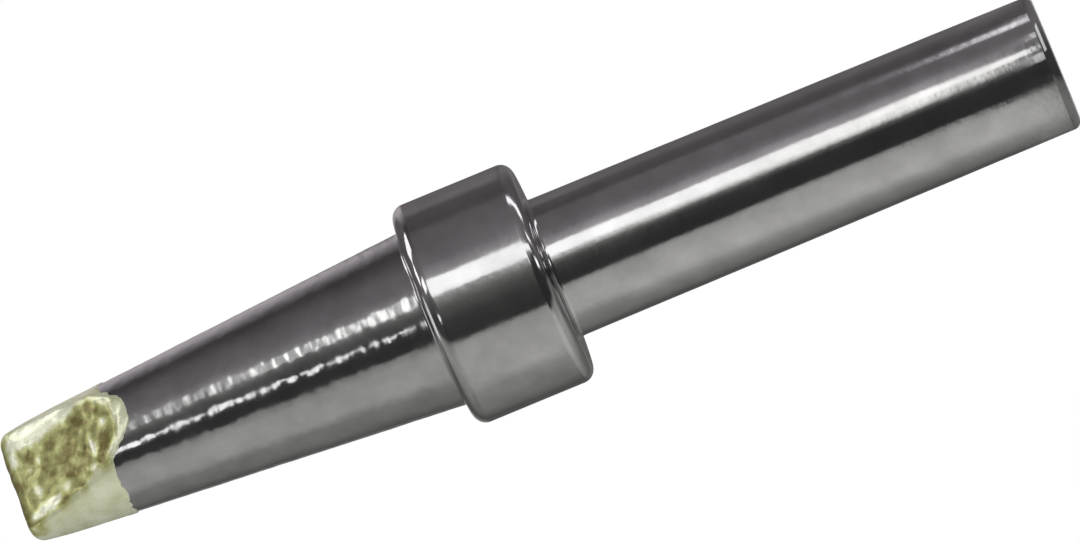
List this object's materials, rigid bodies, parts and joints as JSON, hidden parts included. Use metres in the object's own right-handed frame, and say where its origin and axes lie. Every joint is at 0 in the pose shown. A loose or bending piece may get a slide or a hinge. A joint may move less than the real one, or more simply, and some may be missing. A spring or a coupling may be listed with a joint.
{
  "type": "soldering iron tip",
  "caption": "Chisel-shaped soldering iron tip: a plated copper shank open at its end, a collar that a nut holds, and a taper ground to a tinned straight edge.",
  "frame": {"origin": "centre of the shank's open end face, on which the tip stands", "axes": "+Z along the tip's axis from the open end of the shank to the working edge; the chisel's flats face +Y and -Y, so the working edge lies along X"},
  "size_m": [0.0068, 0.0068, 0.0331],
  "materials": {
    "chrome_plating": "bright plated, with fine turning marks",
    "tinned_end": "solder coat on the working end, lumpy and glossy"
  },
  "bodies": {
    "root": {"soldering_tip": "chrome_plating"}
  },
  "joints": []
}
